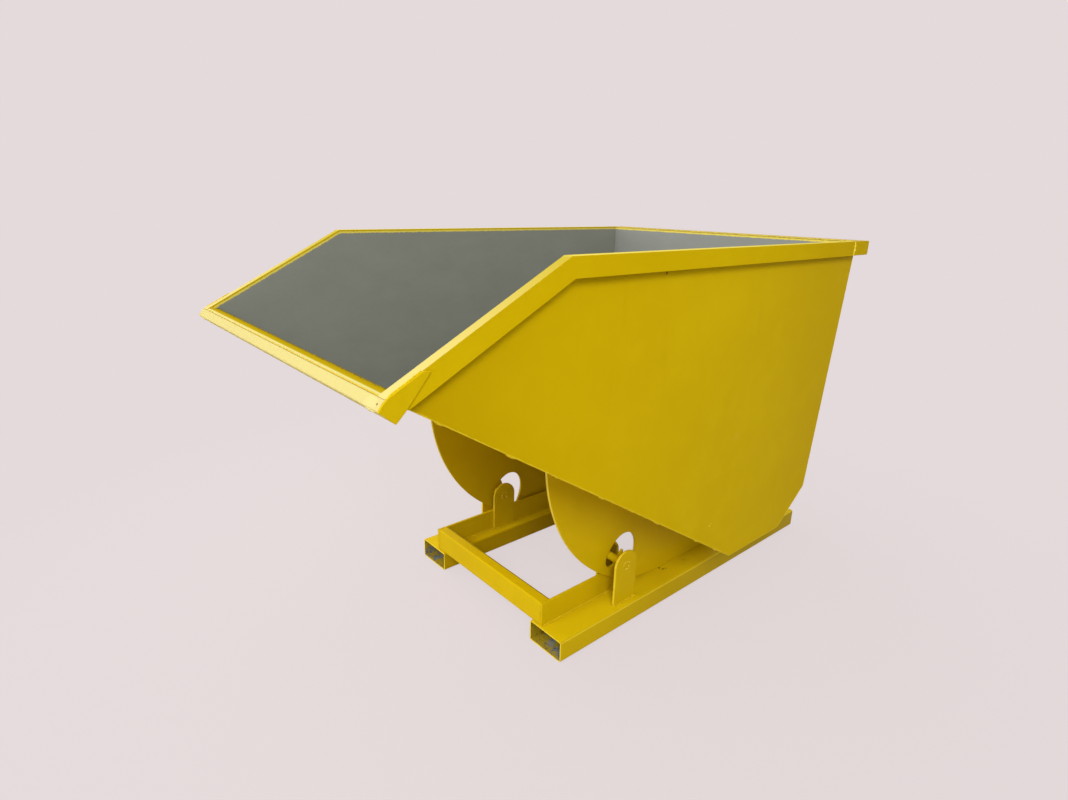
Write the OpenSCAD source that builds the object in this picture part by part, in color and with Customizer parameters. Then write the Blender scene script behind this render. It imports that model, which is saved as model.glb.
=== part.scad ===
// Self-tipping hopper: a steel bucket that rolls forward on two rocker plates
// along the tops of two fork tubes. Millimetres, +Z up, pouring lip towards -Y.
// Inside the modules y runs from the front ends of the fork tubes to the rear,
// and place() moves that frame to the middle of the footprint.

/* [Fork tubes] */
// Length of each fork tube
tube_len = 1530; // [1400:10:1700]
// Outside width of a fork tube
tube_w = 160; // [150:5:200]
// Outside height of a fork tube
tube_h = 80; // [70:5:110]
// Wall of a fork tube
tube_wall = 5; // [3:1:8]
// Clear distance between the two fork tubes
tube_gap = 550; // [450:10:650]

/* [Rails and crossbars] */
// Thickness of a guide rail
rail_t = 10; // [6:1:14]
// Height of the rails and crossbars above the tubes
rail_h = 90; // [60:5:110]
// Distance from a tube's inner side to the rail's inner face
rail_inset = 45; // [35:1:55]
// Depth of a crossbar along the tubes
crossbar_d = 45; // [35:1:60]
// Wall of a crossbar
crossbar_wall = 5; // [3:1:8]
// Set-back of the front crossbar from the tube ends
crossbar_set = 5; // [2:1:20]
// Set-back of the rear crossbar from the tube ends
rear_set = 65; // [50:5:80]

/* [Pins and brackets] */
// Diameter of a guide pin
pin_d = 30; // [20:1:36]
// Height of the pin axis above the tubes
pin_up = 150; // [135:1:170]
// Distance of the pin axis ahead of the resting contact line
pin_ahead = 290; // [270:1:310]
// Thickness of a pin bracket
bracket_t = 10; // [6:1:14]
// Width of a pin bracket
bracket_w = 112; // [90:2:130]
// Clear distance between the two brackets of a pair
bracket_span = 78; // [60:1:90]
// Clearance of a pin in its bracket
pin_fit = 0.1; // [0.05:0.05:0.3]

/* [Rockers] */
// Rolling radius of a rocker
rocker_r = 640; // [600:5:680]
// Thickness of a rocker plate
rocker_t = 10; // [6:1:14]
// Side clearance from the rail to the rocker
rocker_side = 7; // [4:1:12]
// Distance of the resting contact line from the front tube ends
contact_y = 632; // [620:1:660]
// Running gap between the rockers and the tubes
roll_gap = 0.3; // [0.2:0.1:1]
// Width of the curved slot round the pin
slot_w = 68; // [50:1:76]
// Distance that the slot is cut ahead of the pin's path
slot_ahead = 12; // [0:1:16]
// Largest tipping angle in degrees
tip_max = 55; // [45:1:55]
// Length of the straight foot behind the contact line
foot_len = 370; // [300:5:395]
// Chamfer at the rear end of the straight foot
foot_chamfer = 30; // [10:5:50]
// Distance of the rocker tie from the foot's rear end
tie_back = 60; // [40:5:100]

/* [Bucket] */
// Width over the side panels
bucket_w = 1220; // [1100:10:1400]
// Thickness of the side panels
panel_t = 3; // [3:1:6]
// Thickness of the sloping floor
floor_t = 3; // [3:1:6]
// Thickness of the bottom plate
bottom_t = 6; // [4:1:10]
// Thickness of the rear plates, heavy so that the empty bucket rights itself
rear_t = 8; // [4:1:10]
// Height of the bucket's flat bottom above the tubes
bottom_up = 156; // [140:2:180]
// Distance of the floor's bend behind the contact line
bend_back = 49; // [30:1:70]
// Length of the flat bottom
bottom_len = 347; // [330:1:400]
// Run of the slanted rear plate
slant_run = 174; // [150:2:200]
// Rise of the slanted rear plate
slant_rise = 137; // [120:1:160]
// Lean of the rear panel over its whole height
rear_lean = 112; // [60:2:150]
// Height of the level rim above the ground
rim_z = 1363; // [1300:1:1450]
// Distance of the rim's bend ahead of the tube ends
rim_bend = 211; // [150:1:260]
// Distance of the lip's top edge ahead of the tube ends
lip_ahead = 692; // [660:1:720]
// Height of the lip's top edge above the ground
lip_z = 1114; // [1095:1:1130]

/* [Rims] */
// Height of the rim's outer flange
rim_h = 52; // [40:1:60]
// Overhang of the rim outside the side panel
rim_out = 26; // [15:1:35]
// Thickness of the rim steel
rim_t = 5; // [3:1:6]
// Depth of the box beam along the rear rim
beam_d = 75; // [60:1:100]
// Wall of the box beam
beam_wall = 6; // [4:1:8]
// Part of the box beam that overhangs the inside
beam_in = 22; // [10:1:35]
// Length of the rear rim's closed corners along the sides
corner_d = 119; // [100:1:150]

/* [Lip] */
// Thickness of the folded lip section
lip_t = 4; // [3:1:6]
// Thickness of a lip gusset
gusset_t = 6; // [4:1:8]
// Length of a lip gusset along the rim
gusset_len = 91; // [70:1:110]
// Run of the folded nose ahead of the lip's top edge
nose_run = 21; // [15:1:26]
// Drop of the folded nose below the lip's top edge
nose_drop = 24; // [18:1:30]
// Depth of the folded nose's underside
nose_depth = 49; // [40:1:56]
// Clearance left under a sloping weld seam
seam = 0.03; // [0.02:0.01:0.1]
// Depth of the level ledge behind the lip's top edge
ledge_d = 34; // [26:1:44]
// Thickness of the ledge
ledge_t = 4; // [3:1:6]

/* [Latch] */
// Diameter of the latch pivot bolt
bolt_d = 16; // [12:1:20]
// Running clearance on the pivot bolt
bolt_fit = 0.08; // [0.04:0.01:0.1]
// Height of the pivot above the rear crossbar
pivot_up = 45; // [35:1:60]
// Thickness of the latch arm
arm_t = 12; // [8:1:16]
// Diameter of the striker bar
striker_d = 20; // [14:1:24]
// Distance of the striker bar behind the slanted plate's upper end
striker_back = 33; // [28:1:40]
// Distance of the striker bar below the slanted plate's upper end
striker_drop = 73; // [65:1:85]
// Clearance of the hook round the striker bar
hook_fit = 1.5; // [1:0.5:3]
// Swing of the latch arm from released to closed
latch_swing = 80; // [75:1:85]
// Length of the latch handle
handle_len = 140; // [100:5:180]
// Diameter of the latch handle
handle_d = 16; // [12:1:20]

/* [Roll centre] */
// Diameter of a round plug at the roll centre
plug_d = 40; // [30:2:60]
// Running clearance of a plug
plug_fit = 0.08; // [0.04:0.01:0.1]

/* [Hidden] */

paint = [0.82, 0.68, 0.06];
shade_paint = [0.72, 0.58, 0.05];
bare = [0.55, 0.56, 0.55];

// Places across the width, on the left side of the object
tube_x = tube_gap / 2;
rail_x = tube_x + rail_inset;
rocker_x = rail_x + rail_t + rocker_side;
outer_bracket_x = rail_x + bracket_span;
panel_x = bucket_w / 2 - panel_t;
rim_x = bucket_w / 2 + rim_out;

// Places along the tubes and above the ground
pin_y = contact_y - pin_ahead;
pin_z = tube_h + pin_up;
roll_z = tube_h + roll_gap + rocker_r;
rear_bar_y = tube_len - rear_set - crossbar_d;
pivot_y = rear_bar_y + crossbar_d / 2;
pivot_z = tube_h + rail_h + pivot_up;

// Corners of the bucket's side outline
lip_top = [-lip_ahead, lip_z];
rim_corner = [-rim_bend, rim_z];
bend = [contact_y + bend_back, tube_h + bottom_up];
bottom_end = [bend[0] + bottom_len, bend[1]];
slant_end = bottom_end + [slant_run, slant_rise];
rear_top = [slant_end[0] + rear_lean, rim_z];
beam_y = rear_top[0] - beam_in;
beam_end = beam_y + beam_d;
corner_y = beam_end - corner_d;

// Line helpers in the side view
function unit(v) = v / norm(v);
function left_of(v) = [-v[1], v[0]];
function cross2(a, b) = a[0] * b[1] - a[1] * b[0];
function meet(p, d, q, e) = p + d * cross2(q - p, e) / cross2(d, e);
function level(p, d, z) = p + d * (z - p[1]) / d[1];

// The floor's top side climbs to the lip's top edge, and its slope makes it thicker upright
floor_dir = unit(lip_top - [0, floor_t * 1.2] - bend);
slant_dir = unit(slant_end - bottom_end);
rear_dir = unit(rear_top - slant_end);
rim_dir = unit(rim_corner - lip_top);
floor_in = -left_of(floor_dir);
slant_in = left_of(slant_dir);
rear_in = left_of(rear_dir);
rim_down = -left_of(rim_dir);

// Inside corners of the floor, bottom and rear plates
bend_in = meet(bend + floor_in * floor_t, floor_dir, bend + [0, bottom_t], [1, 0]);
bottom_end_in = meet(bend + [0, bottom_t], [1, 0], bottom_end + slant_in * rear_t, slant_dir);
slant_end_in = meet(bottom_end + slant_in * rear_t, slant_dir,
    slant_end + rear_in * rear_t, rear_dir);

// Outline of the folded lip, from its top edge round its nose
nose_dir = unit([-nose_run, -nose_drop]);
nose_mid = lip_top + [-nose_run * 0.45, -nose_drop * 0.35];
nose_tip = lip_top + [-nose_run, -nose_drop];
nose_heel = nose_tip + left_of(nose_dir) * nose_depth;
lip_root = meet(bend, floor_dir, lip_top, nose_mid - lip_top);
floor_front = meet(bend + floor_in * floor_t, floor_dir, lip_top, nose_mid - lip_top);

// The line just under the floor that the rockers and the lip section are cut to
under = bend - floor_in * seam;
under_root = meet(under, floor_dir, lip_top, nose_mid - lip_top);
heel_top = meet(under, floor_dir, nose_heel, [1, 1]);

// The model's ends, for the middle of its footprint
y_mid = (tube_len + nose_tip[0]) / 2;

module place() {
    translate([0, -y_mid, 0]) children();
}

module right_side() {
    mirror([1, 0, 0]) children();
}

// A flat plate cut to an outline in the side view, from x0 to x1
module side_plate(x0, x1, outline) {
    translate([x0, 0, 0]) rotate([90, 0, 90])
        linear_extrude(height = x1 - x0) polygon(outline);
}

// A round bar across the width, from x0 to x1
module cross_rod(x0, x1, at, d, fn = 48) {
    translate([x0, at[0], at[1]]) rotate([0, 90, 0])
        cylinder(h = x1 - x0, d = d, $fn = fn);
}

module fork_tube() {
    color(paint) difference() {
        translate([tube_x, 0, 0]) cube([tube_w, tube_len, tube_h]);
        translate([tube_x + tube_wall, -1, tube_wall])
            cube([tube_w - 2 * tube_wall, tube_len + 2, tube_h - 2 * tube_wall]);
    }
}

module guide_rail() {
    rail_end = rear_bar_y + crossbar_d;
    color(paint) translate([rail_x, crossbar_set, tube_h])
        cube([rail_t, rail_end - crossbar_set, rail_h]);
}

// Rectangular tube across the base, with its front face at y
module crossbar(y) {
    color(paint) difference() {
        translate([-rail_x, y, tube_h]) cube([2 * rail_x, crossbar_d, rail_h]);
        translate([-rail_x - 1, y + crossbar_wall, tube_h + crossbar_wall])
            cube([2 * rail_x + 2, crossbar_d - 2 * crossbar_wall, rail_h - 2 * crossbar_wall]);
    }
}

// Bracket plate with a round top, its inner face at x
module pin_bracket(x) {
    color(shade_paint) difference() {
        union() {
            translate([x, pin_y - bracket_w / 2, tube_h])
                cube([bracket_t, bracket_w, pin_up]);
            cross_rod(x, x + bracket_t, [pin_y, pin_z], bracket_w, 64);
        }
        cross_rod(x - 1, x + bracket_t + 1, [pin_y, pin_z], pin_d + 2 * pin_fit);
    }
}

module guide_pin() {
    color(paint) cross_rod(rail_x - bracket_t, outer_bracket_x + bracket_t,
        [pin_y, pin_z], pin_d);
}

// Where the fixed pin lies in the rocker after the bucket has rolled by an angle,
// in degrees: rolling moves the roll centre ahead by radius times angle
function pin_lead(angle) = pin_ahead - rocker_r * angle * PI / 180;
function pin_in_rocker(angle) = [
    contact_y - pin_lead(angle) * cos(angle) - (roll_z - pin_z) * sin(angle),
    roll_z + pin_lead(angle) * sin(angle) - (roll_z - pin_z) * cos(angle)];
// The slot's place ahead of that path keeps a least gap beside the pin, and a least
// wall between the slot's lower end and the rolling edge
slot_side = 5;
slot_wall = 8;
slot_end = pin_in_rocker(tip_max);
end_drop = roll_z - slot_end[1];
end_reach = rocker_r - slot_w / 2 - slot_wall;
wall_room = slot_end[0] - contact_y + sqrt(max(end_reach * end_reach - end_drop * end_drop, 0));
pin_room = (slot_w - pin_d) / 2 - slot_side;
slot_shift = max(min(slot_ahead, pin_room, wall_room), -pin_room);
slot_steps = 24;
slot_path = [for (i = [0 : slot_steps]) pin_in_rocker(tip_max * i / slot_steps)];
function path_dir(i) = unit(slot_path[min(i + 1, slot_steps)] - slot_path[max(i - 1, 0)]);
function path_gap(p) = min([for (q = slot_path) norm(p - q)]);

// One edge of the slot, without the points that a tight bend folds into the slot
function slot_edge(side) = [for (i = [0 : slot_steps])
    let(p = slot_path[i] + side * left_of(path_dir(i)) * slot_w / 2)
    if (path_gap(p) > slot_w / 2 * 0.99) p];
function turned(v, a) = [v[0] * cos(a) - v[1] * sin(a), v[0] * sin(a) + v[1] * cos(a)];
function slot_cap(i, v) = [for (a = [20 : 20 : 160]) slot_path[i] + turned(v, -a) * slot_w / 2];
function backwards(list) = [for (i = [len(list) - 1 : -1 : 0]) list[i]];
slot_outline = concat(
    slot_edge(1),
    slot_cap(slot_steps, left_of(path_dir(slot_steps))),
    backwards(slot_edge(-1)),
    slot_cap(0, -left_of(path_dir(0))));

// Quarter disc that rolls, with a straight foot behind it, up to the bucket's underside
module rocker() {
    sole = tube_h + roll_gap;
    foot_end = contact_y + foot_len;
    front = contact_y - rocker_r * 1.01;
    roll_centre = [contact_y, roll_z];
    color(shade_paint) difference() {
        union() {
            intersection() {
                cross_rod(rocker_x, rocker_x + rocker_t, roll_centre, 2 * rocker_r, 180);
                side_plate(rocker_x, rocker_x + rocker_t, [
                    [contact_y, sole - roll_gap],
                    meet(under, floor_dir, [contact_y, 0], [0, 1]),
                    meet(under, floor_dir, [front, 0], [0, 1]),
                    [front, sole - roll_gap]]);
            }
            side_plate(rocker_x, rocker_x + rocker_t, [
                [contact_y, sole],
                [foot_end - foot_chamfer, sole],
                [foot_end, sole + foot_chamfer],
                [foot_end, bend[1]],
                meet(under, floor_dir, bend, [1, 0]),
                meet(under, floor_dir, [contact_y, 0], [0, 1])]);
        }
        translate([0, -slot_shift, 0])
            side_plate(rocker_x - 1, rocker_x + rocker_t + 1, slot_outline);
    }
}

// Upright plate between the two rockers, behind their contact line
module rocker_tie() {
    tie_y = contact_y + foot_len - tie_back;
    tie_h = (bottom_up - rail_h) * 0.75;
    color(shade_paint) translate([-rocker_x, tie_y, bend[1] - tie_h])
        cube([2 * rocker_x, rocker_t, tie_h]);
}

// Side panel, below the rim's top face, with the hole at the roll centre
module side_panel() {
    low_rim = lip_top + rim_down * rim_t;
    rim_line = meet(low_rim, rim_dir, [0, rim_z - rim_t], [1, 0]);
    color(paint) difference() {
        side_plate(panel_x, bucket_w / 2, [
            meet(bend, floor_dir, low_rim, rim_dir),
            bend,
            bottom_end,
            slant_end,
            level(slant_end, rear_dir, rim_z - rim_h),
            [beam_y, rim_z - rim_h],
            [beam_y, rim_z - rim_t],
            rim_line]);
        cross_rod(panel_x - 1, bucket_w / 2 + 1, [contact_y, roll_z],
            plug_d + 2 * plug_fit);
    }
}

module centre_plug() {
    color(paint) cross_rod(panel_x, bucket_w / 2, [contact_y, roll_z], plug_d);
}

module floor_plate() {
    color(shade_paint) side_plate(-panel_x, panel_x, [
        lip_root,
        floor_front,
        bend_in,
        bend]);
}

module bottom_plate() {
    color(shade_paint) side_plate(-panel_x, panel_x,
        [bend, bend_in, bottom_end_in, bottom_end]);
}

module rear_lower_plate() {
    color(shade_paint) side_plate(-panel_x, panel_x,
        [bottom_end, bottom_end_in, slant_end_in, slant_end]);
}

module rear_panel() {
    top = rim_z - rim_h;
    color(paint) side_plate(-panel_x, panel_x, [
        slant_end,
        slant_end_in,
        level(slant_end_in, rear_dir, top),
        level(slant_end, rear_dir, top)]);
}

// Folded angle along the top of a side panel: a top face and an outer flange
module side_rim() {
    low_flange = lip_top + rim_down * rim_h;
    low_face = lip_top + rim_down * rim_t;
    flange_front = meet(low_flange, rim_dir, bend, floor_dir);
    color(paint) union() {
        side_plate(panel_x, rim_x, [
            lip_root,
            lip_top,
            rim_corner,
            [corner_y, rim_z],
            [corner_y, rim_z - rim_t],
            meet(low_face, rim_dir, [0, rim_z - rim_t], [1, 0]),
            meet(low_face, rim_dir, bend, floor_dir)]);
        side_plate(rim_x - rim_t, rim_x, [
            lip_root,
            lip_top,
            rim_corner,
            [corner_y, rim_z],
            [corner_y, rim_z - rim_h],
            meet(low_flange, rim_dir, [0, rim_z - rim_h], [1, 0]),
            flange_front]);
    }
}

// Rear rim: a closed box beam, with folded corners that run forward along the sides
module rear_rim() {
    low = rim_z - rim_h;
    color(paint) union() {
        difference() {
            translate([-rim_x, beam_y, low]) cube([2 * rim_x, beam_d, rim_h]);
            translate([-rim_x + beam_wall, beam_y + beam_wall, low + beam_wall])
                cube([2 * (rim_x - beam_wall), beam_d - 2 * beam_wall, rim_h - 2 * beam_wall]);
        }
        for (x = [-rim_x, panel_x])
            translate([x, corner_y, rim_z - rim_t])
                cube([rim_x - panel_x, beam_y - corner_y + 1, rim_t]);
        for (x = [-rim_x, rim_x - rim_t])
            translate([x, corner_y, low]) cube([rim_t, beam_y - corner_y + 1, rim_h]);
    }
}

// Folded lip section across the front, with its open heel against the floor
module lip_section() {
    outer = [under_root, nose_mid, nose_tip, nose_heel, heel_top];
    count = len(outer);
    function inset(i) = let(
        a = unit(outer[i] - outer[(i + count - 1) % count]),
        b = unit(outer[(i + 1) % count] - outer[i]))
        meet(outer[i] + left_of(a) * lip_t, a, outer[i] + left_of(b) * lip_t, b);
    color(paint) difference() {
        side_plate(-rim_x, rim_x, outer);
        side_plate(-rim_x - 1, rim_x + 1, [for (i = [0 : count - 1]) inset(i)]);
    }
}

// Folded angle on the floor behind the lip, with its top level with the lip's edge
module lip_ledge() {
    back = lip_top[0] + ledge_d;
    above = floor_front;
    color(paint) side_plate(-panel_x, panel_x, [
        lip_top,
        [back, lip_z],
        meet(above, floor_dir, [back, 0], [0, 1]),
        meet(above, floor_dir, [back - ledge_t, 0], [0, 1]),
        [back - ledge_t, lip_z - ledge_t],
        meet(above, floor_dir, [0, lip_z - ledge_t], [1, 0])]);
}

// End plate of the lip, outside the rim
module lip_gusset() {
    color(paint) side_plate(rim_x, rim_x + gusset_t, [
        lip_top + rim_dir * gusset_len,
        lip_top,
        nose_mid,
        nose_tip,
        nose_heel,
        nose_heel + unit([1, 1]) * nose_depth * 0.7,
        lip_top + rim_dir * gusset_len * 1.17 + rim_down * gusset_len * 0.11]);
}

striker_at = slant_end + [striker_back, -striker_drop];
lug_gap = 60;
lug_t = 8;
lug_foot = 100;

// Two lugs on the slanted rear plate that hold the striker bar
module striker_lugs() {
    color(shade_paint) for (x = [-lug_gap / 2 - lug_t, lug_gap / 2])
        union() {
            side_plate(x, x + lug_t, [
                bottom_end + slant_dir * lug_foot - slant_in * seam,
                striker_at + [-striker_d * 0.3, -striker_d * 1.1],
                striker_at + [striker_d * 1.15, 0],
                slant_end - slant_dir * lug_t - slant_in * seam]);
            cross_rod(x, x + lug_t, striker_at, striker_d * 2.4);
        }
}

module striker_bar() {
    color(bare) cross_rod(-lug_gap / 2, lug_gap / 2, striker_at, striker_d);
}

// The closed arm reaches from the pivot to the striker bar, and rests swung back
reach_v = striker_at - [pivot_y, pivot_z];
reach = norm(reach_v);
closed_tilt = atan2(reach_v[1], -reach_v[0]);
rest_turn = closed_tilt + latch_swing;
heel_r = 18;
arm_low = 20;
arm_high = 34;
hook_nose = 20;
handle_back = 58;
handle_at = reach - handle_back;
arm_waist = 60;
arm_belly = 80;
throat_back = 30;
nose_back = 22;
nose_low = 12;

// The stop rod behind the arm, in the frame of the resting arm
stop_d = 12;
stop_fit = 0.5;
stop_out = heel_r + stop_d / 2 + stop_fit;
stop_up = 30;
stop_at = [
    pivot_y + stop_out * sin(rest_turn) - stop_up * cos(rest_turn),
    pivot_z + stop_out * cos(rest_turn) + stop_up * sin(rest_turn)];

ear_t = 8;
ear_side = 1;
ear_w = 40;
ear_x = arm_t / 2 + ear_side;

module latch_ears() {
    foot_z = pivot_z - pivot_up;
    color(shade_paint) for (x = [-ear_x - ear_t, ear_x]) difference() {
        union() {
            side_plate(x, x + ear_t, [
                [pivot_y - ear_w / 2, foot_z],
                [pivot_y + ear_w / 2, foot_z],
                stop_at + [stop_d, -stop_d / 2],
                stop_at + [stop_d * 0.6, stop_d],
                stop_at + [-stop_d * 0.6, stop_d],
                [pivot_y - ear_w / 2, pivot_z]]);
            cross_rod(x, x + ear_t, [pivot_y, pivot_z], ear_w);
        }
        cross_rod(x - 1, x + ear_t + 1, [pivot_y, pivot_z], bolt_d + 2 * pin_fit);
    }
}

module latch_stop() {
    color(shade_paint) cross_rod(-ear_x, ear_x, stop_at, stop_d);
}

module latch_pivot_bolt() {
    grip = ear_x + ear_t;
    head_h = bolt_d * 0.65;
    hex_d = bolt_d * 1.75;
    color(bare) union() {
        cross_rod(-grip - head_h, grip + head_h + 6, [pivot_y, pivot_z], bolt_d);
        cross_rod(-grip - head_h, -grip, [pivot_y, pivot_z], hex_d, 6);
        cross_rod(grip, grip + head_h, [pivot_y, pivot_z], hex_d, 6);
    }
}

// Draws the arm's own frame, u along the arm and v above it, swung to its rest
module arm_frame() {
    translate([0, pivot_y, pivot_z]) rotate([-rest_turn, 0, 0]) children();
}

module latch_arm() {
    hook_r = striker_d / 2 + hook_fit;
    tip = reach + hook_r + hook_nose;
    color(paint) arm_frame() difference() {
        union() {
            side_plate(-arm_t / 2, arm_t / 2, [
                [0, -heel_r], [-arm_belly, -arm_low], [-tip, -arm_low], [-tip, nose_low],
                [-tip + nose_back, arm_high], [-reach + throat_back, arm_high],
                [-arm_waist, heel_r], [0, heel_r]]);
            cross_rod(-arm_t / 2, arm_t / 2, [0, 0], 2 * heel_r);
        }
        cross_rod(-arm_t, arm_t, [0, 0], bolt_d + 2 * bolt_fit);
        cross_rod(-arm_t, arm_t, [-reach, 0], 2 * hook_r);
        side_plate(-arm_t, arm_t, [[-reach - hook_r, 0], [-reach + hook_r, 0],
            [-reach + hook_r, -arm_low - 1], [-reach - hook_r, -arm_low - 1]]);
        cross_rod(-arm_t, arm_t, [-handle_at, 6], handle_d + 2 * pin_fit);
    }
}

module latch_handle() {
    color(bare) arm_frame()
        cross_rod(-handle_len / 2, handle_len / 2, [-handle_at, 6], handle_d);
}

module fork_tube_left() { place() fork_tube(); }
module fork_tube_right() { place() right_side() fork_tube(); }
module guide_rail_left() { place() guide_rail(); }
module guide_rail_right() { place() right_side() guide_rail(); }
module front_crossbar() { place() crossbar(crossbar_set); }
module rear_crossbar() { place() crossbar(rear_bar_y); }
module inner_bracket_left() { place() pin_bracket(rail_x - bracket_t); }
module inner_bracket_right() { place() right_side() pin_bracket(rail_x - bracket_t); }
module outer_bracket_left() { place() pin_bracket(outer_bracket_x); }
module outer_bracket_right() { place() right_side() pin_bracket(outer_bracket_x); }
module guide_pin_left() { place() guide_pin(); }
module guide_pin_right() { place() right_side() guide_pin(); }
module side_panel_left() { place() side_panel(); }
module side_panel_right() { place() right_side() side_panel(); }
module centre_plug_left() { place() centre_plug(); }
module centre_plug_right() { place() right_side() centre_plug(); }
module side_rim_left() { place() side_rim(); }
module side_rim_right() { place() right_side() side_rim(); }
module lip_gusset_left() { place() lip_gusset(); }
module lip_gusset_right() { place() right_side() lip_gusset(); }
module rocker_left() { place() rocker(); }
module rocker_right() { place() right_side() rocker(); }

fork_tube_left();
fork_tube_right();
guide_rail_left();
guide_rail_right();
front_crossbar();
rear_crossbar();
inner_bracket_left();
inner_bracket_right();
outer_bracket_left();
outer_bracket_right();
guide_pin_left();
guide_pin_right();
place() latch_ears();
place() latch_stop();
place() latch_pivot_bolt();
centre_plug_left();
centre_plug_right();
side_panel_left();
side_panel_right();
place() floor_plate();
place() bottom_plate();
place() rear_lower_plate();
place() rear_panel();
side_rim_left();
side_rim_right();
place() rear_rim();
place() lip_section();
place() lip_ledge();
lip_gusset_left();
lip_gusset_right();
rocker_left();
rocker_right();
place() rocker_tie();
place() striker_lugs();
place() striker_bar();
place() latch_arm();
place() latch_handle();
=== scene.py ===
import math
import random

import bmesh
import bpy
from mathutils import Matrix, Vector, noise


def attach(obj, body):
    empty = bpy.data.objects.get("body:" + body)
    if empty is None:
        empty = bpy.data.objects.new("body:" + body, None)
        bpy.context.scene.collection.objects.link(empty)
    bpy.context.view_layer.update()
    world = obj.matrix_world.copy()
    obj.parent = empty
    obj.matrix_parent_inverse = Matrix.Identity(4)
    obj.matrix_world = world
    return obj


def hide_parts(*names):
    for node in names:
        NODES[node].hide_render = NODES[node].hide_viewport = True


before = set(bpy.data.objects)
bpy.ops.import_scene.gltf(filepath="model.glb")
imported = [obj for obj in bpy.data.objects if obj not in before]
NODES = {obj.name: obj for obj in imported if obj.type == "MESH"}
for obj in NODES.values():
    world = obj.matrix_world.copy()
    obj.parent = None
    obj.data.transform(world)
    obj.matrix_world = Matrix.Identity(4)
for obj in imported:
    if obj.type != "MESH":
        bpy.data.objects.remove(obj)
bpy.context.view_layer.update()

# Lengths are in metres. x runs from the middle, y from the fork tubes' front ends and
# z from the ground. The CAD's origin lies this far behind those front ends.
MIDDLE = 0.4085
SIDES = {"left": 1, "right": -1}

# The base
TUBE_LENGTH, TUBE_TOP, TUBE_WALL = 1.530, 0.080, 0.005
TUBE_NEAR, TUBE_FAR = 0.275, 0.435
RAIL_X, RAIL_T, RAIL_TOP = 0.320, 0.010, 0.170
BRACKETS = {"inner": 0.310, "outer": 0.398}
BRACKET_REACH = 0.056
PLATE = 0.010
PIN = (0.342, 0.230)
PIN_RING = 0.0152

# The bucket, with corners in the side view as pairs of y and z
PANEL_X, PANEL_OUT, RIM_X, ROCKER_X = 0.607, 0.610, 0.636, 0.337
FLOOR_X = 0.604
LIP, LIP_ROOT = (-0.692, 1.114), (-0.692, 1.1104)
CORNER = (-0.211, 1.363)
RIM_Z, RIM_DEPTH = 1.363, 0.052
LOW_RIM = RIM_Z - RIM_DEPTH
BEND, BOTTOM_END, SLANT_END = (0.681, 0.236), (1.028, 0.236), (1.202, 0.373)
GUSSET_TOP = (-0.6112, 1.1558)
ROCKER_FRONT, ROCKER_REAR = (0.010, 0.6633), 1.000
BEAM_Y, BEAM_END, CORNER_Y = 1.292, 1.367, 1.248
FLOOR_NORMAL = (0.537, 0.843)
SLANT_NORMAL = (-0.619, 0.786)
REAR_NORMAL = (-0.994, 0.112)
# The inside corners of the floor, bottom and rear plates
INSIDE = ((-0.656, 1.0915), (0.6771, 0.242), (1.0227, 0.242), (1.1944, 0.3772), (1.3001, 1.310))
# The box beam's inner wall laps down flush, to where the slanted panel meets its plane
LAP = ((1.2917, 1.3128), (1.2975, 1.3128), (1.2992, 1.3000), (1.2935, 1.2380), (1.2917, 1.2395))

# How close counts as lying on an edge, and how close counts as lying in a face
ON_EDGE, IN_FACE = 1e-4, 0.0005


def at(x, y, z):
    """A point given by its distance behind the fork tubes' front ends."""
    return Vector((x, y - MIDDLE, z))


# Materials

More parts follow.
